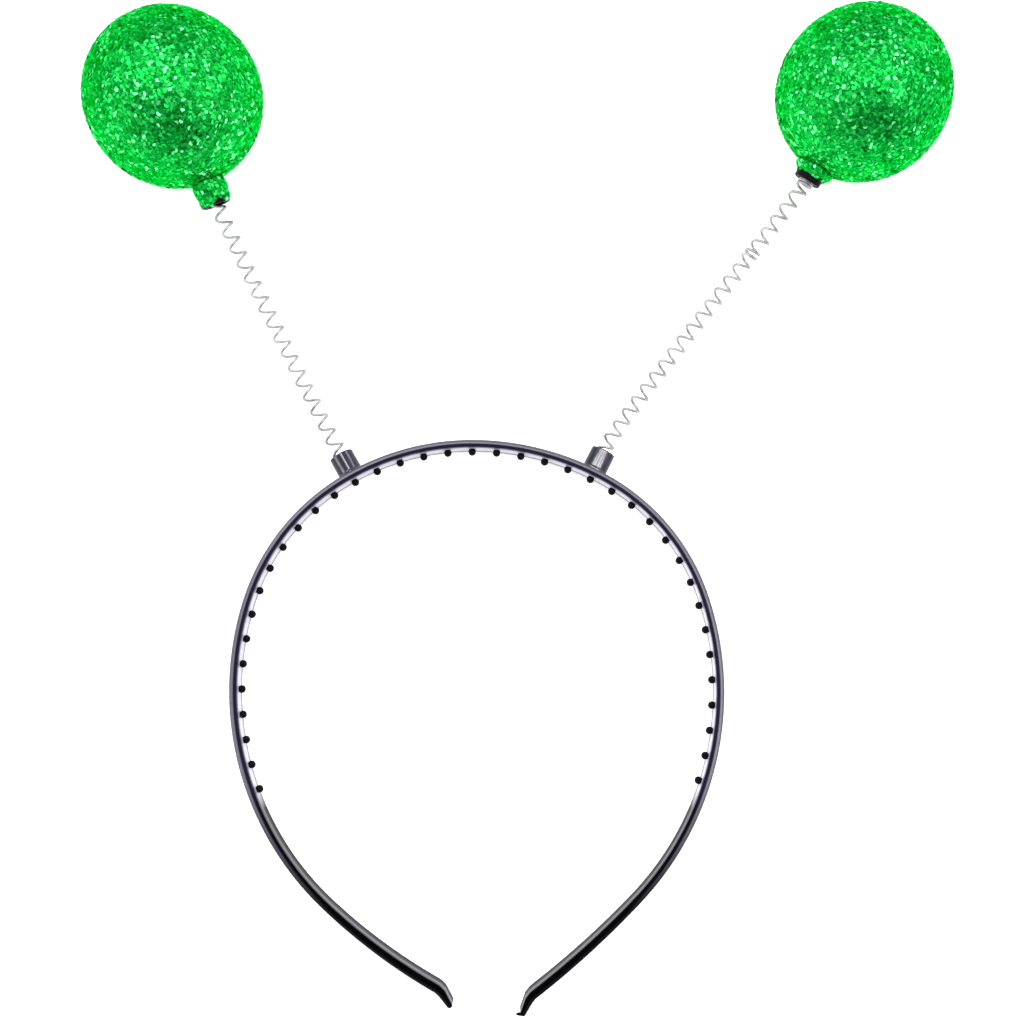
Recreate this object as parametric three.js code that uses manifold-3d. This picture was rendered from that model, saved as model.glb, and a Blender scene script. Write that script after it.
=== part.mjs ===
// Antenna headband: a toothed plastic band lying on its edge, with two coil springs that carry glitter balls.
// Millimetres, +Z up. The band opens towards -Y, its crown and antennas face +Y, and X is across the head.
import * as THREE from 'three';
import { mergeVertices } from 'three/addons/utils/BufferGeometryUtils.js';
import Module from 'manifold-3d';

// Band
const BAND_WIDTH = 9;
const CROWN_THICKNESS = 2.1;
const EDGE_ROUND = 0.6;
const EDGE_ROUND_STEPS = 1;
const OUTLINE_STEP = 5;
const TIP_STEPS = 4;
// The outer edge from the crown to either tip: each stretch is an arc of this length that turns inwards.
// Both sides are equally long, and the left one lies a little more bent.
const BAND_STRETCHES = [
  { name: 'crown', length: 41.4, leftTurn: 34.1, rightTurn: 30.6, endThickness: 2.1 },
  { name: 'shoulder', length: 42.9, leftTurn: 40.5, rightTurn: 41.5, endThickness: 2.1 },
  { name: 'side', length: 89.3, leftTurn: 62.9, rightTurn: 62.3, endThickness: 2.2 },
  { name: 'arm', length: 37.7, leftTurn: 13.7, rightTurn: 8.7, endThickness: 2.4 },
  { name: 'bend', length: 1.6, leftTurn: -22, rightTurn: -22, endThickness: 2.3 },
  { name: 'leg', length: 3.6, leftTurn: 0, rightTurn: 0, endThickness: 1.6 },
];

// Pegs along the inside of the band
const PEGS_EACH_SIDE = 19;
const PEG_PITCH = 7.21;
const PEG_RADIUS = 1;
const PEG_HEIGHT = 1.85;
const PEG_SIDES = 8;
// Shape of a peg's round end, as shares of its radius and height
const PEG_END_ROWS = [
  { radius: 1, height: 0.5 },
  { radius: 0.7, height: 0.87 },
  { radius: 0, height: 1 },
];

// Spring sockets on the outside of the band, at this distance along it from the crown
const SOCKET_DISTANCE = 35.85;
const SOCKET_RADIUS = 3.45;
const SOCKET_HEIGHT = 6;
const SOCKET_FLOOR = 1;
const SOCKET_FOOT_FLARE = 0.6;
const SOCKET_FOOT_HEIGHT = 0.2;
const SOCKET_RIM_CHAMFER = 0.3;
const SOCKET_SIDES = 20;

// Springs and the bores that hold their ends
const BORE_RADIUS = 2.5;
const COIL_RADIUS = 1.95;
const WIRE_RADIUS = 0.25;
const WIRE_SIDES = 5;
const STEPS_PER_COIL = 10;
const CURVE_SAMPLES_PER_STEP = 4;
const SPRING_END_HANDLE = 12;

// Balls and their necks, which slope down to the springs
const BALL_WALL = 1.2;
const BALL_SIDES = 24;
const BALL_ROWS = 11;
const NECK_TILT = 16;
const NECK_ROOT_RADIUS = 4.4;
const NECK_BULGE_RADIUS = 4.7;
const NECK_BULGE_LENGTH = 0.8;
const NECK_END_RADIUS = 4.1;
const NECK_END_TAPER = 1.2;
const NECK_WALL = 1;
const NECK_NOTCHES = 4;
const NECK_NOTCH_WIDTH = 1.1;

// Plugs
const PLUG_FLANGE_RADIUS = 3.9;
const PLUG_FLANGE_THICKNESS = 1.3;
const PLUG_EDGE_CHAMFER = 0.3;
const PLUG_BODY_RADIUS = 2.8;
const PLUG_DEPTH = 6;
const PLUG_BORE_DEPTH = 4;
const PLUG_SIDES = 16;

// Space that neighbouring pieces keep, how far a cutting shape stands out of what it cuts, and equal corners
const GAP = 0.3;
const CUT_OVERSHOOT = 1;
const SAME_POINT = 1e-4;

// Each ball's size, where it lies from the crown, and its neck. The neck's angle is from -Y, its reach is from the
// ball's centre, and its end is notched to this depth.
const ANTENNAS = [
  {
    side: 'left', sign: -1, coils: 18.5,
    ballRadius: 25, ballX: -83, ballY: 93.5,
    neckAngle: 21.8, neckReach: 29.6, notchDepth: 1.8,
  },
  {
    side: 'right', sign: 1, coils: 24,
    ballRadius: 24.5, ballX: 109.3, ballY: 95,
    neckAngle: 33.4, neckReach: 26.4, notchDepth: 0.6,
  },
];

const wasm = await Module();
wasm.setup();

const radians = THREE.MathUtils.degToRad;
const BLACK_PLASTIC = { color: 0x111014, roughness: 0.22, metalness: 0 };
const SILVER_WIRE = { color: 0xb9babd, roughness: 0.3, metalness: 1 };
const GREEN_GLITTER = { color: 0x0fae3c, roughness: 0.35, metalness: 0.5 };

function toSolid(geometry) {
  const bare = geometry.index ? geometry.toNonIndexed() : geometry.clone();
  bare.deleteAttribute('normal');
  bare.deleteAttribute('uv');
  const merged = mergeVertices(bare, SAME_POINT);
  return new wasm.Manifold(new wasm.Mesh({
    numProp: 3,
    vertProperties: new Float32Array(merged.attributes.position.array),
    triVerts: new Uint32Array(merged.index.array),
  }));
}

function toGeometry(solid) {
  const mesh = solid.getMesh();
  const geometry = new THREE.BufferGeometry();
  geometry.setAttribute('position', new THREE.BufferAttribute(mesh.vertProperties, 3));
  geometry.setIndex(new THREE.BufferAttribute(mesh.triVerts, 1));
  geometry.computeVertexNormals();
  return geometry;
}

// A point on the outer edge of either side, as if it were the right one: its place, its heading from +X and the
// band's thickness there.
function edgeAt(distance, sign) {
  let x = 0;
  let y = 0;
  let heading = 0;
  let thickness = CROWN_THICKNESS;
  let left = distance;
  for (const stretch of BAND_STRETCHES) {
    const along = Math.min(left, stretch.length);
    const share = along / stretch.length;
    const turn = radians(sign < 0 ? stretch.leftTurn : stretch.rightTurn) * share;
    const chord = turn === 0 ? along : (2 * along / turn) * Math.sin(turn / 2);
    x += chord * Math.cos(heading - turn / 2);
    y += chord * Math.sin(heading - turn / 2);
    heading -= turn;
    thickness += (stretch.endThickness - thickness) * share;
    left -= along;
    if (left <= 0) break;
  }
  return { x, y, heading, thickness };
}

// The same in its own place, with the direction that points out of the band.
function stationAt(distance, sign) {
  const { x, y, heading, thickness } = edgeAt(distance, sign);
  const outward = new THREE.Vector2(-Math.sin(heading) * sign, Math.cos(heading));
  return { outer: new THREE.Vector2(x * sign, y), outward, thickness };
}

function outlineDistances() {
  const distances = [0];
  let start = 0;
  for (const { length, leftTurn } of BAND_STRETCHES) {
    const steps = leftTurn < 0 ? TIP_STEPS : Math.max(1, Math.round(length / OUTLINE_STEP));
    for (let step = 1; step <= steps; step += 1) distances.push(start + length * step / steps);
    start += length;
  }
  return distances;
}

function innerPoint({ outer, outward, thickness }) {
  return outer.clone().addScaledVector(outward, -thickness);
}

// Round end of a leg, from its outer to its inner corner.
function tipPoints({ outer, outward, thickness }, sign) {
  const centre = outer.clone().addScaledVector(outward, -thickness / 2);
  const points = [];
  for (let step = 1; step < TIP_STEPS; step += 1) {
    const spoke = outward.clone().multiplyScalar(thickness / 2);
    spoke.rotateAround(new THREE.Vector2(), -sign * Math.PI * step / TIP_STEPS);
    points.push(centre.clone().add(spoke));
  }
  return points;
}

function bandRibbon() {
  const distances = outlineDistances();
  const right = distances.map((distance) => stationAt(distance, 1));
  const left = distances.map((distance) => stationAt(distance, -1));
  const outline = [
    ...right.map(({ outer }) => outer),
    ...tipPoints(right.at(-1), 1),
    ...right.map(innerPoint).reverse(),
    ...left.map(innerPoint).slice(1),
    ...tipPoints(left.at(-1), -1).reverse(),
    ...left.map(({ outer }) => outer).reverse().slice(0, -1),
  ];
  const ribbon = new THREE.ExtrudeGeometry(new THREE.Shape(outline), {
    depth: BAND_WIDTH - 2 * EDGE_ROUND,
    bevelThickness: EDGE_ROUND,
    bevelSize: EDGE_ROUND,
    bevelOffset: -EDGE_ROUND,
    bevelSegments: EDGE_ROUND_STEPS,
  });
  return ribbon.translate(0, 0, EDGE_ROUND);
}

// Stands a turned shape, made along +Y, on a point of the band with its axis along a direction.
function standOn(geometry, foot, direction) {
  const turn = new THREE.Quaternion().setFromUnitVectors(new THREE.Vector3(0, 1, 0), direction);
  return geometry.applyQuaternion(turn).translate(foot.x, foot.y, foot.z);
}

function turned(profile, sides) {
  return new THREE.LatheGeometry(profile.map(([radius, height]) => new THREE.Vector2(radius, height)), sides);
}

function pegGeometry() {
  const root = -CROWN_THICKNESS / 2;
  return turned([
    [0, root],
    [PEG_RADIUS, root],
    ...PEG_END_ROWS.map(({ radius, height }) => [PEG_RADIUS * radius, PEG_HEIGHT * height]),
  ], PEG_SIDES);
}

function socketGeometry() {
  const root = -CROWN_THICKNESS / 2;
  const foot = SOCKET_RADIUS + SOCKET_FOOT_FLARE;
  return turned([
    [0, root],
    [foot, root],
    [foot, SOCKET_FOOT_HEIGHT],
    [SOCKET_RADIUS, SOCKET_FOOT_HEIGHT + SOCKET_FOOT_FLARE],
    [SOCKET_RADIUS, SOCKET_HEIGHT - SOCKET_RIM_CHAMFER],
    [SOCKET_RADIUS - SOCKET_RIM_CHAMFER, SOCKET_HEIGHT],
    [0, SOCKET_HEIGHT],
  ], SOCKET_SIDES);
}

function socketBoreGeometry() {
  return turned([
    [0, SOCKET_FLOOR],
    [BORE_RADIUS, SOCKET_FLOOR],
    [BORE_RADIUS, SOCKET_HEIGHT + CUT_OVERSHOOT],
    [0, SOCKET_HEIGHT + CUT_OVERSHOOT],
  ], SOCKET_SIDES);
}

// Foot and direction of a socket, half way across the band's width.
function socketSeat({ sign }) {
  const { outer, outward } = stationAt(SOCKET_DISTANCE, sign);
  return {
    foot: new THREE.Vector3(outer.x, outer.y, BAND_WIDTH / 2),
    direction: new THREE.Vector3(outward.x, outward.y, 0),
  };
}

function pegSeats() {
  const seats = [];
  for (let place = -PEGS_EACH_SIDE; place <= PEGS_EACH_SIDE; place += 1) {
    const station = stationAt(Math.abs(place) * PEG_PITCH, place < 0 ? -1 : 1);
    const { x, y } = innerPoint(station);
    seats.push({
      foot: new THREE.Vector3(x, y, BAND_WIDTH / 2),
      direction: new THREE.Vector3(-station.outward.x, -station.outward.y, 0),
    });
  }
  return seats;
}

function bandGeometry() {
  let solid = toSolid(bandRibbon());
  for (const { foot, direction } of pegSeats()) {
    solid = solid.add(toSolid(standOn(pegGeometry(), foot, direction)));
  }
  for (const antenna of ANTENNAS) {
    const { foot, direction } = socketSeat(antenna);
    solid = solid.add(toSolid(standOn(socketGeometry(), foot, direction)));
    solid = solid.subtract(toSolid(standOn(socketBoreGeometry(), foot, direction)));
  }
  return toGeometry(solid);
}

// Centre of a ball that rests on the floor, and the direction from it along its neck.
function ballSeat({ ballRadius, ballX, ballY, neckAngle, sign }) {
  const level = Math.cos(radians(NECK_TILT));
  return {
    centre: new THREE.Vector3(ballX, ballY, ballRadius),
    neck: new THREE.Vector3(
      -sign * Math.sin(radians(neckAngle)) * level,
      -Math.cos(radians(neckAngle)) * level,
      -Math.sin(radians(NECK_TILT)),
    ),
  };
}

// Points of a sphere's profile from the pole opposite the neck to where the neck's radius meets it.
function sphereProfile(radius, neckRadius, rows) {
  const last = Math.PI - Math.asin(neckRadius / radius);
  const points = [];
  for (let row = 0; row <= rows; row += 1) {
    const angle = last * row / rows;
    points.push([radius * Math.sin(angle), -radius * Math.cos(angle)]);
  }
  return points;
}

// A bar through the neck's end that cuts two notches opposite each other.
function neckNotchGeometry({ neckReach, notchDepth }, turn) {
  const across = 2 * (NECK_BULGE_RADIUS + CUT_OVERSHOOT);
  const bar = new THREE.BoxGeometry(across, 2 * notchDepth, NECK_NOTCH_WIDTH);
  return bar.rotateY(turn).translate(0, neckReach, 0);
}

// A hollow ball with its neck along +Y, whose end is notched into lobes.
function ballGeometry(antenna) {
  const { ballRadius, neckReach } = antenna;
  const bore = NECK_END_RADIUS - NECK_WALL;
  const outside = [
    ...sphereProfile(ballRadius, NECK_ROOT_RADIUS, BALL_ROWS),
    [NECK_BULGE_RADIUS, neckReach - NECK_END_TAPER - NECK_BULGE_LENGTH],
    [NECK_BULGE_RADIUS, neckReach - NECK_END_TAPER],
    [NECK_END_RADIUS, neckReach],
  ];
  const inside = [
    ...sphereProfile(ballRadius - BALL_WALL, bore, BALL_ROWS - 2),
    [bore, neckReach],
  ];
  let solid = toSolid(turned([...outside, ...inside.reverse()], BALL_SIDES));
  for (let notch = 0; notch < NECK_NOTCHES / 2; notch += 1) {
    solid = solid.subtract(toSolid(neckNotchGeometry(antenna, 2 * Math.PI * notch / NECK_NOTCHES)));
  }
  return toGeometry(solid);
}

// Distance from a ball's centre to the outer face of its plug.
function plugFace({ neckReach }) {
  return neckReach + GAP + PLUG_FLANGE_THICKNESS;
}

// A flanged plug along +Y, with the flange outside the neck and a bore for the spring's end.
function plugGeometry(antenna) {
  const face = plugFace(antenna);
  const seat = face - PLUG_FLANGE_THICKNESS;
  return turned([
    [0, face - PLUG_DEPTH],
    [PLUG_BODY_RADIUS, face - PLUG_DEPTH],
    [PLUG_BODY_RADIUS, seat],
    [PLUG_FLANGE_RADIUS, seat],
    [PLUG_FLANGE_RADIUS, face - PLUG_EDGE_CHAMFER],
    [PLUG_FLANGE_RADIUS - PLUG_EDGE_CHAMFER, face],
    [BORE_RADIUS, face],
    [BORE_RADIUS, face - PLUG_BORE_DEPTH],
    [0, face - PLUG_BORE_DEPTH],
  ], PLUG_SIDES);
}

// A coil of round wire wound about an axis curve.
class CoilCurve extends THREE.Curve {
  constructor(axis, radius, coils) {
    super();
    this.axis = axis;
    this.radius = radius;
    this.coils = coils;
    this.arcLengthDivisions = Math.ceil(coils * STEPS_PER_COIL * CURVE_SAMPLES_PER_STEP);
  }

  getPoint(t, target = new THREE.Vector3()) {
    const along = this.axis.getTangentAt(t);
    const across = new THREE.Vector3(0, 0, 1).cross(along).normalize();
    const over = along.clone().cross(across);
    const angle = 2 * Math.PI * this.coils * t;
    return target.copy(this.axis.getPointAt(t))
      .addScaledVector(across, this.radius * Math.cos(angle))
      .addScaledVector(over, this.radius * Math.sin(angle));
  }
}

// The middle line of a spring: straight in the socket, bent in between, straight in the plug.
function springAxis(antenna) {
  const { foot, direction } = socketSeat(antenna);
  const { centre, neck } = ballSeat(antenna);
  const endSpace = WIRE_RADIUS + GAP;
  const from = (distance) => foot.clone().addScaledVector(direction, distance);
  const to = (distance) => centre.clone().addScaledVector(neck, distance);
  const face = plugFace(antenna);
  const axis = new THREE.CurvePath();
  axis.add(new THREE.LineCurve3(from(SOCKET_FLOOR + endSpace), from(SOCKET_HEIGHT)));
  axis.add(new THREE.CubicBezierCurve3(
    from(SOCKET_HEIGHT),
    from(SOCKET_HEIGHT + SPRING_END_HANDLE),
    to(face + SPRING_END_HANDLE),
    to(face),
  ));
  axis.add(new THREE.LineCurve3(to(face), to(face - PLUG_BORE_DEPTH + endSpace)));
  return axis;
}

function springGeometry(antenna) {
  const section = new THREE.Shape();
  for (let side = 0; side < WIRE_SIDES; side += 1) {
    const angle = 2 * Math.PI * side / WIRE_SIDES;
    const corner = [WIRE_RADIUS * Math.cos(angle), WIRE_RADIUS * Math.sin(angle)];
    if (side === 0) section.moveTo(...corner);
    else section.lineTo(...corner);
  }
  return new THREE.ExtrudeGeometry(section, {
    steps: Math.round(antenna.coils * STEPS_PER_COIL),
    extrudePath: new CoilCurve(springAxis(antenna), COIL_RADIUS, antenna.coils),
    bevelEnabled: false,
  });
}

function pieceOf(name, geometry, finish) {
  const piece = new THREE.Mesh(geometry, new THREE.MeshStandardMaterial(finish));
  piece.name = name;
  return piece;
}

const headband = new THREE.Group();
headband.add(pieceOf('band', bandGeometry(), BLACK_PLASTIC));
for (const antenna of ANTENNAS) {
  const { centre, neck } = ballSeat(antenna);
  headband.add(pieceOf(`spring_${antenna.side}`, springGeometry(antenna), SILVER_WIRE));
  headband.add(pieceOf(`ball_${antenna.side}`, standOn(ballGeometry(antenna), centre, neck), GREEN_GLITTER));
  headband.add(pieceOf(`plug_${antenna.side}`, standOn(plugGeometry(antenna), centre, neck), BLACK_PLASTIC));
}

// The origin lies on the floor under the middle of the whole object.
const box = new THREE.Box3().setFromObject(headband);
const middle = box.getCenter(new THREE.Vector3());
headband.position.set(-middle.x, -middle.y, -box.min.z);
headband.updateMatrixWorld(true);

export default headband;
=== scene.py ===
"""Looks of an antenna headband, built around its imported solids.

A toothed black plastic band lies on its edge. Two coil springs in its sockets carry balls with a coat
of green glitter. Metres, +Z up: the band opens towards -Y, its crown and its antennas face +Y, and X is
across the head.
"""
import math

import bmesh
import bpy
import numpy as np
from mathutils import Matrix, Vector


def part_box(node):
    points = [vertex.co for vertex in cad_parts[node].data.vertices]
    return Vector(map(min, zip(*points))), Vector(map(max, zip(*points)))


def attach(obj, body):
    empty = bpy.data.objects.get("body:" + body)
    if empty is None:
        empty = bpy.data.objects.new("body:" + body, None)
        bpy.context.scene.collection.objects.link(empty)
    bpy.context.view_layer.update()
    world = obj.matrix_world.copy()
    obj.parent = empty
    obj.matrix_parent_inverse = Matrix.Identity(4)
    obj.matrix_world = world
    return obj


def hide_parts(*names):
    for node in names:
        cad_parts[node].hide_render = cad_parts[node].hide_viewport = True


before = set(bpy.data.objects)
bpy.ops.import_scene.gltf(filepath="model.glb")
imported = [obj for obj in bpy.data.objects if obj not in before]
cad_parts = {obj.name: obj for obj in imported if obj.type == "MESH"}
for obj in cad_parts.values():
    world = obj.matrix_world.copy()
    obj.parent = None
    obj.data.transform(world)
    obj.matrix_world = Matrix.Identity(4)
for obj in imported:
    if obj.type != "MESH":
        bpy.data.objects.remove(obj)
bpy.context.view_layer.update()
MM = 0.001
UP = Vector((0, 0, 1))
SAME_POINT = 1e-7
LEAST_RADIUS = 1e-6

# Band: each stretch of its outer edge, from the crown to either tip, is an arc that turns inwards
CROWN = Vector((-12.995 * MM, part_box("band")[1].y, 0))
BAND_WIDTH = 9 * MM
CROWN_THICKNESS = 2.1 * MM
BAND_STRETCHES = [
    {"name": "crown", "length": 41.4 * MM, "left": 34.1, "right": 30.6, "end_thickness": 2.1 * MM},
    {"name": "shoulder", "length": 42.9 * MM, "left": 40.5, "right": 41.5, "end_thickness": 2.1 * MM},
    {"name": "side", "length": 89.3 * MM, "left": 62.9, "right": 62.3, "end_thickness": 2.2 * MM},
    {"name": "arm", "length": 37.7 * MM, "left": 13.7, "right": 8.7, "end_thickness": 2.4 * MM},
    {"name": "bend", "length": 1.6 * MM, "left": -22, "right": -22, "end_thickness": 2.3 * MM},
    {"name": "leg", "length": 3.6 * MM, "left": 0, "right": 0, "end_thickness": 1.6 * MM},
]
HALF_EDGE = sum(stretch["length"] for stretch in BAND_STRETCHES)
STATION_STEP = 1.2 * MM
OUTER_ROUND = 1 * MM
INNER_ROUND = 0.12 * MM
EDGE_SLOPE = 0.16 * MM
OUTER_FACE_RISE = 0.1 * MM
OUTER_FACE_STEPS = 6
CORNER_STEPS = 6
TIP_STEPS = 9
TIP_LENGTH = 0.75 * MM
TIP_NARROWING = 0.25
ARM_START = CROWN.y - 102 * MM
ARM_BLEND = 5 * MM
EDGE_FADE_START = CROWN.y - 128 * MM
EDGE_FADE = 34 * MM

# How glossy the plastic is around the band's section, as a share of the way round its points: on the
# toothed part and on the smooth arms. The last column is a painted reflection: how pale the toothed
# part's colour is painted where its inner face would mirror the bright floor, less pale towards its foot,
# with a fainter painted sheen on its outer shoulder.
CORNER_POINTS = CORNER_STEPS + 1
SECTION_POINTS = 4 * CORNER_POINTS + OUTER_FACE_STEPS - 1
INNER_FOOT = (2 * CORNER_POINTS - 1) / SECTION_POINTS
INNER_RISE = 1 / SECTION_POINTS
FLAT_INNER = (3 * CORNER_POINTS - 1) / SECTION_POINTS
FLAT_OUTER = 3 * CORNER_POINTS / SECTION_POINTS
FLAT_MIDDLE = 0.35 * FLAT_INNER + 0.65 * FLAT_OUTER
OUTER_SHOULDER = 3.07 * CORNER_POINTS / SECTION_POINTS
OUTER_EDGE = (4 * CORNER_POINTS - 1) / SECTION_POINTS
BAND_GLOSS = [
    {"at": INNER_FOOT - 0.5 * INNER_RISE, "toothed": 0.3, "arm": 0.0, "pale": 0.0},
    {"at": INNER_FOOT, "toothed": 0.6, "arm": 0.0, "pale": 0.3},
    {"at": INNER_FOOT + 0.14 * INNER_RISE, "toothed": 0.6, "arm": 0.1, "pale": 0.3},
    {"at": INNER_FOOT + 0.26 * INNER_RISE, "toothed": 1.0, "arm": 0.16, "pale": 1.0},
    {"at": INNER_FOOT + 0.5 * INNER_RISE, "toothed": 1.0, "arm": 0.3, "pale": 1.0},
    {"at": INNER_FOOT + 0.67 * INNER_RISE, "toothed": 0.9, "arm": 0.95, "pale": 0.9},
    {"at": INNER_FOOT + 0.82 * INNER_RISE, "toothed": 0.2, "arm": 0.6, "pale": 0.1},
    {"at": INNER_FOOT + INNER_RISE, "toothed": 0.03, "arm": 0.15, "pale": 0.0},
    {"at": FLAT_INNER, "toothed": 0.02, "arm": 0.0, "pale": 0.0},
    {"at": FLAT_MIDDLE, "toothed": 0.03, "arm": 0.0, "pale": 0.0},
    {"at": FLAT_OUTER, "toothed": 0.6, "arm": 0.0, "pale": 0.2},
    {"at": OUTER_SHOULDER, "toothed": 0.8, "arm": 0.12, "pale": 0.14},
    {"at": OUTER_EDGE, "toothed": 0.3, "arm": 0.12, "pale": 0.0},
]
FADE = [(0.0, (0, 0, 0)), (1.0, (1, 1, 1))]
BLACK_TONES = [(0.3, (0.0008, 0.0008, 0.001)), (0.75, (0.002, 0.002, 0.0022))]
# Painted reflection and sheen: a pale grey painted into the toothed part's inner face and outer shoulder
PAINTED_SHEEN_TONE = (0.54, 0.525, 0.565)
VIOLET_TONE = (0.007, 0.006, 0.018)

# Spur of flash on the right tip
NUB_RADIUS = 0.55 * MM
NUB_LENGTH = 2.2 * MM
NUB_BELOW_TOP = 0.6 * MM
NUB_ROWS = [
    {"radius": 0, "along": -0.1},
    {"radius": 1, "along": 0},
    {"radius": 0.8, "along": 0.6},
    {"radius": 0, "along": 1},
]

# Pegs along the inside of the band: a round bead on a short stem
PEGS_EACH_SIDE = 19
PEG_PITCH = 7.21 * MM
PEG_BEAD_RADIUS = 1.1 * MM
PEG_HEIGHT = 1.9 * MM
PEG_FOOT_RADIUS = 0.5 * MM
PEG_ROOT_DEPTH = 0.6 * MM
PEG_STEM_ANGLE = -63
PEG_SIDES = 14
PEG_ROWS = 8
DULL_TONES = [(0.3, (0.002, 0.002, 0.003)), (0.75, (0.004, 0.004, 0.005))]

# Spring sockets on the outside of the band, at this distance along it from the crown
SOCKET_DISTANCE = 35.85 * MM
SOCKET_RADIUS = 3.45 * MM
SOCKET_HEIGHT = 6 * MM
BORE_RADIUS = 2.5 * MM
SOCKET_FLOOR = 1 * MM
SOCKET_FOOT_ROUND = 0.6 * MM
SOCKET_RIM_ROUND = 0.25 * MM
SOCKET_WALL_EDGE = 0.08 * MM
SOCKET_ROOT_DEPTH = 1.2 * MM
SOCKET_TONES = [(0.3, (0.004, 0.003, 0.012)), (0.75, (0.014, 0.011, 0.03))]
SOCKET_POLISH = [(0.07, (1, 1, 1)), (0.13, (0.1, 0.1, 0.1))]
SOCKET_RUB = [(0.42, (0.42, 0.42, 0.42)), (0.58, (1, 1, 1))]
TURNED_SIDES = 48

# Springs
COIL_RADIUS = 1.95 * MM
WIRE_RADIUS = 0.4 * MM
WIRE_SIDES = 8
WIRE_TONES = [(0.3, (0.32, 0.32, 0.3)), (0.6, (0.49, 0.49, 0.46))]
WIRE_EDGE = (0.6, 0.6, 0.62, 1)
STEPS_PER_COIL = 24
SPRING_END_HANDLE = 12 * MM
AXIS_STEPS = 240
BUNCH_STEEPNESS = 4

# Balls and their necks
COAT_DEPTH = 0.5 * MM
BALL_SIDES = 120
BALL_ROWS = 64
POLE_ROW = 0.02
NECK_TILT = 16
NECK_BULGE = 0.45 * MM
NECK_BORE_RADIUS = 3.15 * MM
NECK_BORE_DEPTH = 3 * MM
NECK_GROOVE = 0.6 * MM
NECK_ROWS = 14
NECK_LOBES = 4
NECK_SWELL_RATE = 1.25
LOBE_ROUNDNESS = 0.3
GROOVE_SHARPNESS = 0.5
LOBE_LIP_STEPS = 10
COATED_LIP_TURN = 2

# Plugs
PLUG_FLANGE_RADIUS = 3.9 * MM
PLUG_FLANGE_THICKNESS = 1.3 * MM
PLUG_BODY_RADIUS = 2.8 * MM
PLUG_DEPTH = 6 * MM
PLUG_BORE_DEPTH = 4 * MM
PLUG_EDGE_ROUND = 0.3 * MM
GAP = 0.3 * MM

# Glitter flakes
FLAKE_SPACING = 0.95 * MM
FLAKE_WIDTH = 1.35 * MM
FLAKE_THICKNESS = 0.08 * MM
FLAKE_TILT = 18
FLAKE_SEED = 4
FLAKE_SIDES = 6
FLAKE_LEAST = 0.62
FLAKE_MOST = 1.15
FLAKE_DENSITY = 6e6
SIZE_SEED = 7
TONE_SEED = 11
LACQUER_CELLS = 2400
LACQUER_TONES = [(0.1, (0.001, 0.14, 0.01)), (0.7, (0.005, 0.4, 0.04)), (1.0, (0.03, 0.65, 0.12))]
FLAKE_TONES = [
    (0.0, (0.002, 0.28, 0.02)),
    (0.5, (0.008, 0.52, 0.055)),
    (0.85, (0.03, 0.72, 0.12)),
    (1.0, (0.25, 0.97, 0.4)),
]
GLITTER_EDGE = (0.2, 0.72, 0.33, 1)

# Each antenna: its ball's size and place from the crown, and its neck, whose end is notched into lobes.
# Angles are from -Y, and the lobes' turn and reach are from the uppermost line of the neck and round by
# its left. The coils lie closer together in bunches, at a share of the spring's length.
ANTENNAS = [
    {
        "side": "left", "sign": -1, "coils": 18.5,
        "ball_radius": 25 * MM, "ball_x": -83 * MM, "ball_y": 93.5 * MM,
        "neck_angle": 21.8, "neck_reach": 29.6 * MM, "neck_root": 4.4 * MM, "neck_end": 4.75 * MM,
        "lobe_turn": 28, "lobe_reach": [31.2 * MM, 31.1 * MM, 31 * MM, 31 * MM],
        "lobe_lip": 2.3 * MM, "notch_depth": 1.4 * MM,
        "bunches": [],
    },
    {
        "side": "right", "sign": 1, "coils": 24,
        "ball_radius": 24.5 * MM, "ball_x": 109.3 * MM, "ball_y": 95 * MM,
        "neck_angle": 33.4, "neck_reach": 26.4 * MM, "neck_root": 5.2 * MM, "neck_end": 4.2 * MM,
        "lobe_turn": 0, "lobe_reach": [26.5 * MM, 26.6 * MM, 26.4 * MM, 26.6 * MM],
        "lobe_lip": 0.9 * MM, "notch_depth": 0.5 * MM,
        "bunches": [{"at": 0.72, "width": 0.016, "turns": 1}, {"at": 0.97, "width": 0.02, "turns": 5}],
    },
]

# Camera and light: the camera looks down, tilted a little
CAMERA_LENS = 46.3
CAMERA_SENSOR = 36
CAMERA_AIM = CROWN + Vector((11.3 * MM, -19.5 * MM, 0))
CAMERA_DISTANCE = 376 * MM
CAMERA_TILT = 8
CAMERA_NEAR = 10 * MM
SOFTBOXES = [
    {
        "name": "strip", "azimuth": 63, "lean": 10, "turn": -26.5,
        "length": 2.6, "width": 0.15, "radiance": 9.5,
    },
    {
        "name": "left", "azimuth": 196, "lean": 61, "turn": 90,
        "length": 0.3, "width": 0.3, "radiance": 4.0,
    },
    {
        "name": "right", "azimuth": 43, "lean": 61, "turn": 90,
        "length": 0.3, "width": 0.3, "radiance": 3.5,
    },
]
SOFTBOX_DISTANCE = 0.75
SOFTBOX_TINT = (0.96, 0.93, 1.0)
SKY_TONES = [
    (0.0, (1.0, 0.99, 1.04)),
    (0.5, (0.8, 0.78, 0.86)),
    (0.85, (0.5, 0.48, 0.56)),
    (0.95, (0.26, 0.24, 0.32)),
]
DARK_FRONT = (0.27, -0.94, 0.21)
DARK_FADE = [(0.75, (0, 0, 0)), (0.92, (0.96, 0.96, 0.96))]
HORIZON_FADE = [(0.0, (0, 0, 0)), (0.07, (1, 1, 1))]
FLOOR_HALF = 12
FLOOR_TONES = [(0.2, (0.9, 0.9, 0.9)), (0.8, (0.93, 0.93, 0.93))]


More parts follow.
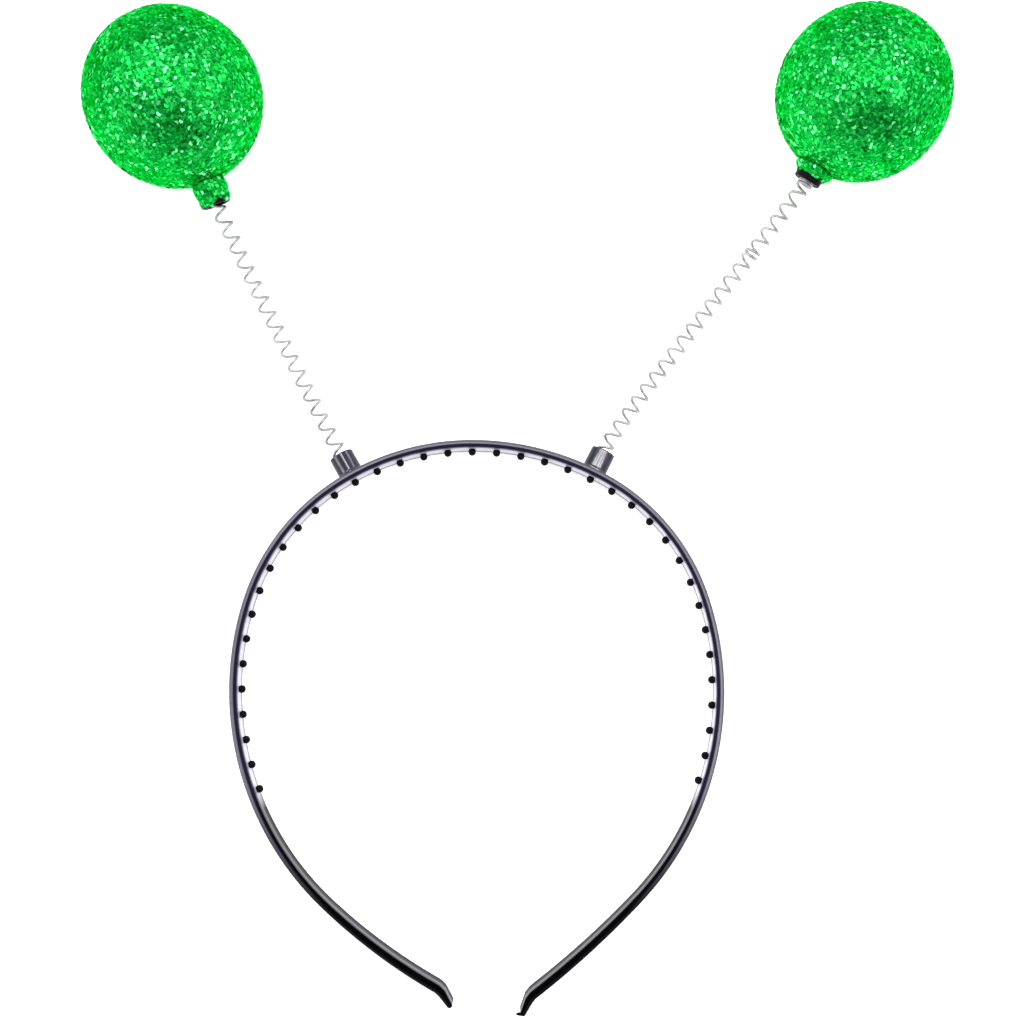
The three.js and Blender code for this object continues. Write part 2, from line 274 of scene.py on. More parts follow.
class Wire:
    """A node's output socket, whose operators add Math nodes to its tree."""

    def __init__(self, graph, socket):
        self.graph = graph
        self.socket = socket

    def math(self, operation, first, second):
        values = {"Value": first, "Value_001": second}
        return self.graph.add("ShaderNodeMath", {"operation": operation}, values)

    def __add__(self, other):
        return self.math("ADD", self, other)

    def __radd__(self, other):
        return self.math("ADD", other, self)

    def __sub__(self, other):
        return self.math("SUBTRACT", self, other)

    def __rsub__(self, other):
        return self.math("SUBTRACT", other, self)

    def __mul__(self, other):
        return self.math("MULTIPLY", self, other)

    def __rmul__(self, other):
        return self.math("MULTIPLY", other, self)


class Graph:
    """A node tree that is built by adding nodes to it."""

    def __init__(self, tree):
        self.tree = tree

    def add(self, kind, settings=None, inputs=None, output=0):
        """Adds a node, makes its settings, fills its input sockets and returns one of its outputs."""
        node = self.tree.nodes.new(kind)
        for name, value in (settings or {}).items():
            if name == "stops":
                self.set_stops(node.color_ramp, value)
            else:
                setattr(node, name, value)
        for key, value in (inputs or {}).items():
            self.fill(self.socket_of(node.inputs, key), value)
        if not len(node.outputs):
            return node
        return Wire(self, self.socket_of(node.outputs, output))

    def fill(self, socket, value):
        if isinstance(value, Wire):
            self.tree.links.new(value.socket, socket)
        else:
            socket.default_value = value

    @staticmethod
    def set_stops(ramp, stops):
        while len(ramp.elements) < len(stops):
            ramp.elements.new(1)
        for element, (place, colour) in zip(ramp.elements, stops):
            element.position = place
            element.color = (*colour, 1)

    @staticmethod
    def socket_of(sockets, key):
        """A socket by its place, its identifier or its name."""
        if isinstance(key, int):
            return sockets[key]
        for socket in sockets:
            if socket.identifier == key:
                return socket
        return sockets[key]


# Materials

def new_material(name):
    """A material with a bare tree: its graph and the shader that its sockets feed."""
    material = bpy.data.materials.new(name)
    material.use_nodes = True
    graph = Graph(material.node_tree)
    shader = material.node_tree.nodes["Principled BSDF"]
    return material, graph, shader


def finish_shader(graph, shader, sockets):
    for name, value in sockets.items():
        graph.fill(shader.inputs[name], value)


def noise(graph, place, scale, detail=2):
    inputs = {"Vector": place, "Scale": scale, "Detail": detail}
    return graph.add("ShaderNodeTexNoise", {}, inputs, "Fac")


def ramp(graph, factor, stops):
    return graph.add("ShaderNodeValToRGB", {"stops": stops}, {"Fac": factor}, "Color")


def vector_maths(graph, operation, first, second, output="Vector"):
    settings = {"operation": operation}
    if operation == "SCALE":
        return graph.add("ShaderNodeVectorMath", settings, {"Vector": first, "Scale": second}, output)
    return graph.add("ShaderNodeVectorMath", settings, {"Vector": first, "Vector_001": second}, output)


def bump(graph, height, strength, distance):
    inputs = {"Height": height, "Strength": strength, "Distance": distance}
    return graph.add("ShaderNodeBump", {}, inputs, "Normal")


def object_place(graph):
    return graph.add("ShaderNodeTexCoord", {}, {}, "Object")


def stretched(graph, place, scale):
    return graph.add("ShaderNodeMapping", {}, {"Vector": place, "Scale": scale}, "Vector")


def lengthwise(graph, scale):
    """A place on a piece's own surface, along it and around it."""
    return stretched(graph, graph.add("ShaderNodeUVMap", {"uv_map": "along"}, {}, "UV"), scale)


def black_plastic():
    """Moulded plastic with faint flow marks along the band, painted pale inside its toothed part as a
    reflection of the floor, with a faint painted sheen on its outer shoulder.
    """
    material, graph, shader = new_material("black_plastic")
    place = object_place(graph)
    cloud = noise(graph, place, scale=160, detail=3)
    grain = noise(graph, place, scale=1900)
    flow = noise(graph, lengthwise(graph, (9, 60, 1)), scale=4, detail=3)
    height = graph.add("ShaderNodeSeparateXYZ", {}, {"Vector": place}, "Y")
    around = graph.add("ShaderNodeSeparateXYZ", {}, {"Vector": lengthwise(graph, (1, 1, 1))}, "Y")
    inside = ramp(graph, (height - ARM_START) * (1 / ARM_BLEND), FADE)
    on_edge = ramp(graph, (height - EDGE_FADE_START) * (1 / EDGE_FADE), FADE)
    edge = ramp(graph, around, [(FLAT_INNER, (0, 0, 0)), (FLAT_OUTER, (1, 1, 1))])
    toothed = inside + edge * (on_edge - inside)
    gloss = {
        label: ramp(graph, around, [(row["at"], (row[label],) * 3) for row in BAND_GLOSS])
        for label in ("toothed", "arm", "pale")
    }
    black = ramp(graph, cloud, BLACK_TONES)
    # Painted reflection: the pale column lifts the base colour where the band would mirror the floor and
    # sky
    painted_sheen = vector_maths(graph, "SCALE", PAINTED_SHEEN_TONE, gloss["pale"] * toothed)
    violet = vector_maths(graph, "SCALE", VIOLET_TONE, toothed)
    tones = vector_maths(graph, "ADD", painted_sheen, violet)
    finish_shader(graph, shader, {
        "Base Color": vector_maths(graph, "ADD", black, tones),
        "Roughness": 0.24 + 0.08 * cloud + 0.1 * flow,
        "Normal": bump(graph, grain * 0.6 + flow * 0.8, strength=0.1, distance=0.05 * MM),
        "IOR": 1.02,
        "Coat Weight": gloss["arm"] + toothed * (gloss["toothed"] - gloss["arm"]),
        "Coat IOR": 1.9,
        "Coat Roughness": 0.38,
    })
    return material


def socket_plastic():
    """The same plastic on the sockets, polished on top by the springs' wear and dull at the sides."""
    material, graph, shader = new_material("socket_plastic")
    streaks = noise(graph, lengthwise(graph, (40, 14, 1)), scale=4, detail=3)
    turn = graph.add("ShaderNodeSeparateXYZ", {}, {"Vector": lengthwise(graph, (1, 1, 1))}, "Y")
    polish = ramp(graph, turn, SOCKET_POLISH)
    rubbed = ramp(graph, streaks, SOCKET_RUB)
    finish_shader(graph, shader, {
        "Base Color": ramp(graph, streaks, SOCKET_TONES),
        "Roughness": 0.3 + 0.2 * streaks,
        "Specular IOR Level": 0.2,
        "Normal": bump(graph, streaks, strength=0.12, distance=0.08 * MM),
        "Coat Weight": polish * rubbed,
        "Coat IOR": 1.85,
        "Coat Roughness": 0.1,
    })
    return material


def dull_plastic():
    """The same plastic on the pegs and plugs, which were left dull."""
    material, graph, shader = new_material("dull_plastic")
    cloud = noise(graph, object_place(graph), scale=900, detail=3)
    finish_shader(graph, shader, {
        "Base Color": ramp(graph, cloud, DULL_TONES),
        "Roughness": 0.4 + 0.2 * cloud,
        "Specular IOR Level": 0.06,
        "Normal": bump(graph, cloud, strength=0.2, distance=0.05 * MM),
    })
    return material


def silver_wire():
    """Drawn steel wire with fine dark drawing marks."""
    material, graph, shader = new_material("silver_wire")
    place = object_place(graph)
    tarnish = noise(graph, place, scale=420, detail=3)
    marks = noise(graph, place, scale=5200)
    finish_shader(graph, shader, {
        "Base Color": ramp(graph, tarnish, WIRE_TONES),
        "Metallic": 1.0,
        "Specular Tint": WIRE_EDGE,
        "Roughness": 0.38 + 0.2 * marks,
        "Normal": bump(graph, marks, strength=0.15, distance=0.02 * MM),
    })
    return material


def glitter_core():
    """The green lacquer between the flakes, with finer glitter in it."""
    material, graph, shader = new_material("glitter_core")
    place = object_place(graph)
    inputs = {"Vector": place, "Scale": LACQUER_CELLS}
    cells = graph.add("ShaderNodeTexVoronoi", {}, inputs, "Color")
    shade = graph.add("ShaderNodeSeparateColor", {}, {"Color": cells}, "Red")
    height = graph.add("ShaderNodeTexVoronoi", {}, inputs, "Distance")
    finish_shader(graph, shader, {
        "Base Color": ramp(graph, shade, LACQUER_TONES),
        "Metallic": 1.0,
        "Specular Tint": GLITTER_EDGE,
        "Roughness": 0.3 + 0.25 * shade,
        "Normal": bump(graph, height + shade, strength=0.6, distance=0.12 * MM),
    })
    return material


def glitter_flake():
    """Metallic green film, each flake in its own tone."""
    material, graph, shader = new_material("glitter_flake")
    tone = graph.add("ShaderNodeAttribute", {"attribute_name": "tone"}, {}, "Fac")
    fine = noise(graph, object_place(graph), scale=2600)
    finish_shader(graph, shader, {
        "Base Color": ramp(graph, tone, FLAKE_TONES),
        "Metallic": 1.0,
        "Specular Tint": GLITTER_EDGE,
        "Roughness": 0.25 + 0.15 * tone + 0.1 * fine,
        "Normal": bump(graph, fine, strength=0.1, distance=0.05 * MM),
    })
    return material


def pale_floor():
    material, graph, shader = new_material("pale_floor")
    cloud = noise(graph, object_place(graph), scale=3)
    finish_shader(graph, shader, {
        "Base Color": ramp(graph, cloud, FLOOR_TONES),
        "Roughness": 0.7,
        "Emission Color": (1, 1, 1, 1),
        "Emission Strength": 0.6,
    })
    return material


# Meshes

def show(name, mesh):
    """An object at the origin for a mesh that holds its own place."""
    piece = bpy.data.objects.new(name, mesh)
    bpy.context.scene.collection.objects.link(piece)
    return piece


def smooth(mesh, sharp_above=40):
    mesh.shade_smooth()
    mesh.set_sharp_from_angle(angle=math.radians(sharp_above))


def grid_mesh(name, rings):
    """A mesh through rings of equally many points, each ring closed, with its ends capped."""
    mesh = bpy.data.meshes.new(name)
    count = len(rings[0])
    points = [point for ring in rings for point in ring]
    faces = []
    for row in range(len(rings) - 1):
        start = row * count
        for column in range(count):
            beside = (column + 1) % count
            faces.append((start + column, start + beside, start + count + beside, start + count + column))
    faces.append(tuple(range(count)))
    faces.append(tuple(range(len(points) - count, len(points))))
    mesh.from_pydata(points, [], faces)
    face_outwards(mesh)
    return mesh


def face_outwards(mesh):
    shape = bmesh.new()
    shape.from_mesh(mesh)
    bmesh.ops.remove_doubles(shape, verts=shape.verts, dist=SAME_POINT)
    bmesh.ops.recalc_face_normals(shape, faces=shape.faces)
    shape.to_mesh(mesh)
    shape.free()


def quarter(centre, radius, start, steps):
    """Points of a quarter circle about a centre, from an angle in degrees to the next right angle."""
    angles = (math.radians(start + 90 * step / steps) for step in range(steps + 1))
    return [(centre[0] + radius * math.cos(a), centre[1] + radius * math.sin(a)) for a in angles]


def turned_mesh(name, profile, seat, sides=TURNED_SIDES):
    """A turned mesh: its profile gives radius and height, and its seat gives the foot and the axis."""
    foot, axis = seat
    up, side = axis_frame(axis)
    rings = []
    for radius, height in profile:
        middle = foot + axis * height
        reach = max(radius, LEAST_RADIUS)
        turns = (2 * math.pi * step / sides for step in range(sides))
        rings.append([middle + (up * math.cos(a) + side * math.sin(a)) * reach for a in turns])
    return grid_mesh(name, rings)


def add_turned_uv(mesh, seat):
    """A UV map in metres along the axis and in turns to either side of its uppermost line."""
    foot, axis = seat
    up, side = axis_frame(axis)
    layer = mesh.uv_layers.new(name="along")
    for loop in mesh.loops:
        arm = mesh.vertices[loop.vertex_index].co - foot
        turn = math.atan2(arm.dot(side), arm.dot(up))
        layer.data[loop.index].uv = (arm.dot(axis), abs(turn) / (2 * math.pi))


def axis_frame(axis):
    """Two directions across an axis: the one nearest to up, and the one to its left, seen from above."""
    up = (UP - axis * UP.dot(axis)).normalized()
    return up, axis.cross(up)


# Band

def edge_at(distance, side):
    """Place, heading from +X and thickness on a side's outer edge, as if it were the right one."""
    x = y = heading = 0.0
    thickness = CROWN_THICKNESS
    left = distance
    for stretch in BAND_STRETCHES:
        along = min(left, stretch["length"])
        share = along / stretch["length"]
        turn = math.radians(stretch[side]) * share
        chord = along if turn == 0 else 2 * along / turn * math.sin(turn / 2)
        x += chord * math.cos(heading - turn / 2)
        y += chord * math.sin(heading - turn / 2)
        heading -= turn
        thickness += (stretch["end_thickness"] - thickness) * share
        left -= along
        if left <= 0:
            break
    return x, y, heading, thickness


def station_at(distance):
    """The same as points and directions of the part. Distances on the left are negative."""
    sign = -1 if distance < 0 else 1
    x, y, heading, thickness = edge_at(abs(distance), "left" if distance < 0 else "right")
    outer = CROWN + Vector((x * sign, y, 0))
    outward = Vector((-math.sin(heading) * sign, math.cos(heading), 0))
    tipward = Vector((math.cos(heading) * sign, math.sin(heading), 0))
    return outer, outward, tipward, thickness


def band_section(thickness):
    """The band's section, as depth from the outer edge and height: round outside, sloping inwards."""
    deep = OUTER_FACE_RISE + OUTER_ROUND
    top = BAND_WIDTH
    shoulder = INNER_ROUND + EDGE_SLOPE
    points = quarter((deep, OUTER_ROUND), OUTER_ROUND, 180, CORNER_STEPS)
    points += quarter((thickness - INNER_ROUND, shoulder), INNER_ROUND, 270, CORNER_STEPS)
    points += quarter((thickness - INNER_ROUND, top - shoulder), INNER_ROUND, 0, CORNER_STEPS)
    points += quarter((deep, top - OUTER_ROUND), OUTER_ROUND, 90, CORNER_STEPS)
    for step in range(1, OUTER_FACE_STEPS):
        across = 2 * step / OUTER_FACE_STEPS - 1
        height = top / 2 - across * (top / 2 - OUTER_ROUND)
        points.append((OUTER_FACE_RISE * across * across, height))
    return points


def band_ring(distance, beyond=0.0, closing=1.0):
    """The section at a place on the band. Beyond its ends, the section closes to a round tip."""
    outer, outward, tipward, thickness = station_at(distance)
    middle = thickness / 2
    spread = 1 - TIP_NARROWING * (1 - closing)
    ring = []
    for depth, height in band_section(thickness):
        inward = middle + (depth - middle) * closing
        level = BAND_WIDTH / 2 + (height - BAND_WIDTH / 2) * spread
        ring.append(outer - outward * inward + tipward * beyond + UP * level)
    return ring


def band_tip(sign):
    """Rings of a round tip, from the end of the leg outwards."""
    rings = []
    for step in range(1, TIP_STEPS):
        angle = math.radians(90 * step / TIP_STEPS)
        rings.append(band_ring(sign * HALF_EDGE, TIP_LENGTH * math.sin(angle), math.cos(angle)))
    return rings


def add_lengthwise_uv(mesh, rings, count):
    """A UV map in metres along the band and around its section."""
    lengths = [0.0]
    for before, after in zip(rings, rings[1:]):
        lengths.append(lengths[-1] + (after[0] - before[0]).length)
    layer = mesh.uv_layers.new(name="along")
    for loop in mesh.loops:
        row, column = divmod(loop.vertex_index, count)
        layer.data[loop.index].uv = (lengths[min(row, len(lengths) - 1)], column / count)


def band_piece(plastic):
    steps = round(HALF_EDGE / STATION_STEP)
    distances = [HALF_EDGE * step / steps for step in range(-steps, steps + 1)]
    rings = band_tip(-1)[::-1] + [band_ring(distance) for distance in distances] + band_tip(1)
    mesh = grid_mesh("band_shell", rings)
    add_lengthwise_uv(mesh, rings, len(rings[0]))
    smooth(mesh)
    mesh.materials.append(plastic)
    return show("band_shell", mesh)


def nub_piece(plastic):
    """A small spur of moulding flash at the end of the right leg, towards the other tip."""
    outer, outward, _, thickness = station_at(HALF_EDGE)
    foot = outer - outward * thickness / 2 + UP * (BAND_WIDTH - NUB_BELOW_TOP)
    profile = [(row["radius"] * NUB_RADIUS, row["along"] * NUB_LENGTH) for row in NUB_ROWS]
    mesh = turned_mesh("tip_nub", profile, (foot, Vector((-1, 0, 0))), PEG_SIDES)
    smooth(mesh)
    mesh.materials.append(plastic)
    return show("tip_nub", mesh)


# Pegs

def peg_profile():
    points = [(0, -PEG_ROOT_DEPTH), (PEG_FOOT_RADIUS, -PEG_ROOT_DEPTH), (PEG_FOOT_RADIUS, 0)]
    centre = PEG_HEIGHT - PEG_BEAD_RADIUS
    for row in range(PEG_ROWS + 1):
        angle = math.radians(PEG_STEM_ANGLE + (90 - PEG_STEM_ANGLE) * row / PEG_ROWS)
        points.append((PEG_BEAD_RADIUS * math.cos(angle), centre + PEG_BEAD_RADIUS * math.sin(angle)))
    return points


def peg_points():
    """A mesh of points on the inner face, each with the direction in which its peg stands."""
    places = []
    directions = []
    for number in range(-PEGS_EACH_SIDE, PEGS_EACH_SIDE + 1):
        outer, outward, _, thickness = station_at(number * PEG_PITCH)
        places.append(outer - outward * thickness + UP * (BAND_WIDTH / 2))
        directions.append(-outward)
    mesh = bpy.data.meshes.new("peg_points")
    mesh.from_pydata(places, [], [])
    layer = mesh.attributes.new("stands", "FLOAT_VECTOR", "POINT")
    layer.data.foreach_set("vector", np.array(directions, np.float32).ravel())
    return mesh


def new_shape_tree(name, inputs):
    """A Geometry Nodes tree with named inputs: its graph and a wire for each input."""
    tree = bpy.data.node_groups.new(name, "GeometryNodeTree")
    tree.interface.new_socket("Geometry", in_out="INPUT", socket_type="NodeSocketGeometry")
    for label, kind in inputs.items():
        tree.interface.new_socket(label, in_out="INPUT", socket_type=kind)
    tree.interface.new_socket("Geometry", in_out="OUTPUT", socket_type="NodeSocketGeometry")
    graph = Graph(tree)
    source = tree.nodes.new("NodeGroupInput")
    wires = {label: Wire(graph, source.outputs[label]) for label in ["Geometry", *inputs]}
    return graph, wires


def end_shape_tree(graph, geometry, material):
    whole = graph.add("GeometryNodeRealizeInstances", {}, {"Geometry": geometry})
    dressed = graph.add("GeometryNodeSetMaterial", {}, {"Geometry": whole, "Material": material})
    graph.add("NodeGroupOutput", {}, {"Geometry": dressed})
    return graph.tree


def grown(name, source, tree, values):
    """Runs a tree on a mesh with these inputs, and shows the result as a plain mesh."""
    piece = show(name, source)
    modifier = piece.modifiers.new("shape", "NODES")
    modifier.node_group = tree
    sockets = [item for item in tree.interface.items_tree if item.in_out == "INPUT"]
    identifiers = {item.name: item.identifier for item in sockets}
    for label, value in values.items():
        modifier[identifiers[label]] = value
    depsgraph = bpy.context.evaluated_depsgraph_get()
    result = piece.evaluated_get(depsgraph)
    mesh = bpy.data.meshes.new_from_object(result, preserve_all_data_layers=True, depsgraph=depsgraph)
    piece.modifiers.remove(modifier)
    piece.data = mesh
    mesh.name = name
    return piece


def peg_tree(material):
    """Stands a peg on each point, along the point's own direction."""
    graph, wires = new_shape_tree("pegs", {"Peg": "NodeSocketObject"})
    stands = graph.add("GeometryNodeInputNamedAttribute", {"data_type": "FLOAT_VECTOR"}, {
        "Name": "stands",
    })
    turn = graph.add("FunctionNodeAlignRotationToVector", {"axis": "Y"}, {"Vector": stands})
    peg = graph.add("GeometryNodeObjectInfo", {}, {"Object": wires["Peg"]}, "Geometry")
    pegs = graph.add("GeometryNodeInstanceOnPoints", {}, {
        "Points": wires["Geometry"], "Instance": peg, "Rotation": turn,
    })
    return end_shape_tree(graph, pegs, material)


def pegs_piece(plastic):
    mesh = turned_mesh("peg", peg_profile(), (Vector(), Vector((0, 1, 0))), PEG_SIDES)
    smooth(mesh, sharp_above=50)
    peg = show("peg", mesh)
    piece = grown("band_pegs", peg_points(), peg_tree(plastic), {"Peg": peg})
    bpy.data.objects.remove(peg)
    return piece


# Sockets, springs and plugs

def socket_seat(antenna):
    outer, outward, _, _ = station_at(antenna["sign"] * SOCKET_DISTANCE)
    return outer + UP * (BAND_WIDTH / 2), outward


def socket_profile():
    foot = SOCKET_RADIUS + SOCKET_FOOT_ROUND
    rim = SOCKET_RIM_ROUND
    fillet = quarter((foot, SOCKET_FOOT_ROUND), SOCKET_FOOT_ROUND, 180, CORNER_STEPS)[::-1]
    outer_rim = quarter((SOCKET_RADIUS - rim, SOCKET_HEIGHT - rim), rim, 0, CORNER_STEPS)
    inner_rim = quarter((BORE_RADIUS + rim, SOCKET_HEIGHT - rim), rim, 90, CORNER_STEPS)
    wall = [
        (SOCKET_RADIUS, SOCKET_FOOT_ROUND + SOCKET_WALL_EDGE),
        (SOCKET_RADIUS, SOCKET_HEIGHT - rim - SOCKET_WALL_EDGE),
    ]
    return [
        (0, -SOCKET_ROOT_DEPTH), (foot, -SOCKET_ROOT_DEPTH), *fillet, *wall, *outer_rim, *inner_rim,
        (BORE_RADIUS, SOCKET_FLOOR), (0, SOCKET_FLOOR),
    ]


def socket_piece(antenna, plastic):
    name = f"socket_{antenna['side']}"
    mesh = turned_mesh(name, socket_profile(), socket_seat(antenna))
    add_turned_uv(mesh, socket_seat(antenna))
    smooth(mesh)
    mesh.materials.append(plastic)
    return show(name, mesh)


def ball_seat(antenna):
    """Centre of a ball that rests on the floor, and the direction from it along its neck."""
    level = math.cos(math.radians(NECK_TILT))
    lean = math.radians(antenna["neck_angle"])
    neck = Vector((
        -antenna["sign"] * math.sin(lean) * level,
        -math.cos(lean) * level,
        -math.sin(math.radians(NECK_TILT)),
    ))
    return CROWN + Vector((antenna["ball_x"], antenna["ball_y"], antenna["ball_radius"])), neck


def plug_face(antenna):
    """Distance from a ball's centre to the outer face of its plug."""
    return antenna["neck_reach"] + GAP + PLUG_FLANGE_THICKNESS


def plug_profile(antenna):
    face = plug_face(antenna)
    seat = face - PLUG_FLANGE_THICKNESS
    edge = PLUG_EDGE_ROUND
    outer = quarter((PLUG_FLANGE_RADIUS - edge, face - edge), edge, 0, CORNER_STEPS)
    return [
        (0, face - PLUG_DEPTH), (PLUG_BODY_RADIUS, face - PLUG_DEPTH), (PLUG_BODY_RADIUS, seat),
        (PLUG_FLANGE_RADIUS, seat), *outer,
        (BORE_RADIUS, face), (BORE_RADIUS, face - PLUG_BORE_DEPTH), (0, face - PLUG_BORE_DEPTH),
    ]


def plug_piece(antenna, plastic):
    name = f"neck_plug_{antenna['side']}"
    mesh = turned_mesh(name, plug_profile(antenna), ball_seat(antenna))
    smooth(mesh)
    mesh.materials.append(plastic)
    return show(name, mesh)


def spring_axis(antenna):
    """Points of a spring's middle line: straight in the socket, bent in between, straight in the plug."""
    foot, outward = socket_seat(antenna)
    centre, neck = ball_seat(antenna)
    end_space = WIRE_RADIUS + GAP
    face = plug_face(antenna)
    start = foot + outward * (SOCKET_FLOOR + end_space)
    corners = [
        foot + outward * SOCKET_HEIGHT,
        foot + outward * (SOCKET_HEIGHT + SPRING_END_HANDLE),
        centre + neck * (face + SPRING_END_HANDLE),
        centre + neck * face,
    ]
    points = [start]
    for step in range(AXIS_STEPS + 1):
        t = step / AXIS_STEPS
        weights = ((1 - t) ** 3, 3 * t * (1 - t) ** 2, 3 * t * t * (1 - t), t ** 3)
        points.append(sum((corner * weight for corner, weight in zip(corners, weights)), Vector()))
    points.append(centre + neck * (face - PLUG_BORE_DEPTH + end_space))
    return points


def turns_along(points, antenna):
    """Turns of the coil up to each point of its axis, closer together at its bunches."""
    steps = [0.0] + [(after - before).length for before, after in zip(points, points[1:])]
    share = np.cumsum(steps) / sum(steps)
    turns = antenna["coils"] * share
    for bunch in antenna["bunches"]:
        turns += bunch["turns"] / (1 + np.exp((bunch["at"] - share) / bunch["width"] * BUNCH_STEEPNESS))
    return turns - turns[0]


def spring_line(antenna):
    """The axis as a line of points that are equal turns of the coil apart."""
    points = spring_axis(antenna)
    turns = turns_along(points, antenna)
    stops = np.linspace(0, turns[-1], round(turns[-1] * STEPS_PER_COIL))
    lines = [np.interp(stops, turns, [point[axis] for point in points]) for axis in range(3)]
    spaced = np.stack(lines, axis=1)
    mesh = bpy.data.meshes.new("spring_axis")
    mesh.from_pydata(spaced.tolist(), [(place, place + 1) for place in range(len(stops) - 1)], [])
    layer = mesh.attributes.new("turns", "FLOAT", "POINT")
    layer.data.foreach_set("value", stops.astype(np.float32))
    return mesh


def spring_tree(material):
    """Winds a wire about an axis line."""
    graph, wires = new_shape_tree("spring", {
        "Coil Radius": "NodeSocketFloat", "Wire Radius": "NodeSocketFloat", "Wire Sides": "NodeSocketInt",
    })
    axis = graph.add("GeometryNodeMeshToCurve", {}, {"Mesh": wires["Geometry"]})
    turns = graph.add("GeometryNodeInputNamedAttribute", {"data_type": "FLOAT"}, {"Name": "turns"})
    angle = turns * (2 * math.pi)
    along = graph.add("GeometryNodeInputTangent")
    sidewards = vector_maths(graph, "CROSS_PRODUCT", tuple(UP), along)
    across = vector_maths(graph, "NORMALIZE", sidewards, (0, 0, 0))
    over = vector_maths(graph, "CROSS_PRODUCT", along, across)
    cosine = graph.add("ShaderNodeMath", {"operation": "COSINE"}, {"Value": angle})
    sine = graph.add("ShaderNodeMath", {"operation": "SINE"}, {"Value": angle})
    sideways = vector_maths(graph, "SCALE", across, cosine * wires["Coil Radius"])
    upwards = vector_maths(graph, "SCALE", over, sine * wires["Coil Radius"])
    coil = graph.add("GeometryNodeSetPosition", {}, {
        "Geometry": axis, "Offset": vector_maths(graph, "ADD", sideways, upwards),
    })
    section = graph.add("GeometryNodeCurvePrimitiveCircle", {}, {
        "Resolution": wires["Wire Sides"], "Radius": wires["Wire Radius"],
    }, "Curve")
    wire = graph.add("GeometryNodeCurveToMesh", {}, {
        "Curve": coil, "Profile Curve": section, "Fill Caps": True,
    })
    return end_shape_tree(graph, wire, material)


def spring_piece(antenna, tree):
    name = f"coil_{antenna['side']}"
    piece = grown(name, spring_line(antenna), tree, {
        "Coil Radius": COIL_RADIUS,
        "Wire Radius": WIRE_RADIUS,
        "Wire Sides": WIRE_SIDES,
    })
    smooth(piece.data, sharp_above=60)
    return piece


# Balls

def lobe_at(antenna, angle):
    """The lobe of the neck at an angle from its top line, and a share: 1 on its middle, 0 in a notch."""
    turn = angle - math.radians(antenna["lobe_turn"])
    lobe = round(turn / (2 * math.pi) * NECK_LOBES) % NECK_LOBES
    return lobe, math.cos(NECK_LOBES / 2 * turn) ** 2


def neck_column(antenna, angle):
    """Points of the neck at an angle, as radius, height and coat: along the lobe, over its lip and in."""
    core = antenna["ball_radius"] - COAT_DEPTH
    start = antenna["neck_root"]
    root = math.sqrt(core ** 2 - start ** 2)
    lobe, share_of_lobe = lobe_at(antenna, angle)
    reach = antenna["lobe_reach"][lobe] - antenna["notch_depth"] * (1 - share_of_lobe ** LOBE_ROUNDNESS)
    lip = antenna["lobe_lip"] / 2
    furrow = (1 - share_of_lobe ** GROOVE_SHARPNESS) * min(1.0, antenna["notch_depth"] / MM)
    points = []
    for row in range(1, NECK_ROWS + 1):
        share = row / NECK_ROWS
        swell = NECK_BULGE * math.sin(math.pi * min(1.0, share * NECK_SWELL_RATE))
        taper = (antenna["neck_end"] - start) * share ** 2
        groove = NECK_GROOVE * share * furrow
        points.append((start + swell + taper - groove, root + (reach - lip - root) * share, 1))
    rim_radius, rim_height, _ = points[-1]
    for step in range(1, LOBE_LIP_STEPS + 1):
        turn = math.pi * step / LOBE_LIP_STEPS
        radius = rim_radius - lip + lip * math.cos(turn)
        points.append((radius, rim_height + lip * math.sin(turn), 1 if turn < COATED_LIP_TURN else 0))
    points.append((NECK_BORE_RADIUS, antenna["neck_reach"] - NECK_BORE_DEPTH / 2, 0))
    points.append((NECK_BORE_RADIUS, antenna["neck_reach"] - NECK_BORE_DEPTH, 0))
    return points


def ball_columns(antenna):
    """Points of the whole ball, a column for each angle about its neck."""
    core = antenna["ball_radius"] - COAT_DEPTH
    last = math.pi - math.asin(antenna["neck_root"] / core)
    columns = []
    for side in range(BALL_SIDES):
        turn = 2 * math.pi * side / BALL_SIDES
        round_part = []
        for row in range(BALL_ROWS + 1):
            angle = last * max(row, POLE_ROW) / BALL_ROWS
            round_part.append((core * math.sin(angle), -core * math.cos(angle), 1))
        columns.append(round_part + neck_column(antenna, turn))
    return columns


def ball_piece(antenna, lacquer):
    centre, neck = ball_seat(antenna)
    up, left = axis_frame(neck)
    columns = ball_columns(antenna)
    rings = []
    coats = []
    for row in range(len(columns[0])):
        ring = []
        for side, column in enumerate(columns):
            turn = 2 * math.pi * side / BALL_SIDES
            radius, height, coat = column[row]
            ring.append(centre + neck * height + (up * math.cos(turn) + left * math.sin(turn)) * radius)
            coats.append(coat)
        rings.append(ring)
    name = f"glitter_ball_{antenna['side']}"
    mesh = grid_mesh(name, rings)
    mesh.attributes.new("coat", "FLOAT", "POINT").data.foreach_set("value", np.array(coats, np.float32))
    smooth(mesh, sharp_above=50)
    mesh.materials.append(lacquer)
    return show(name, mesh)


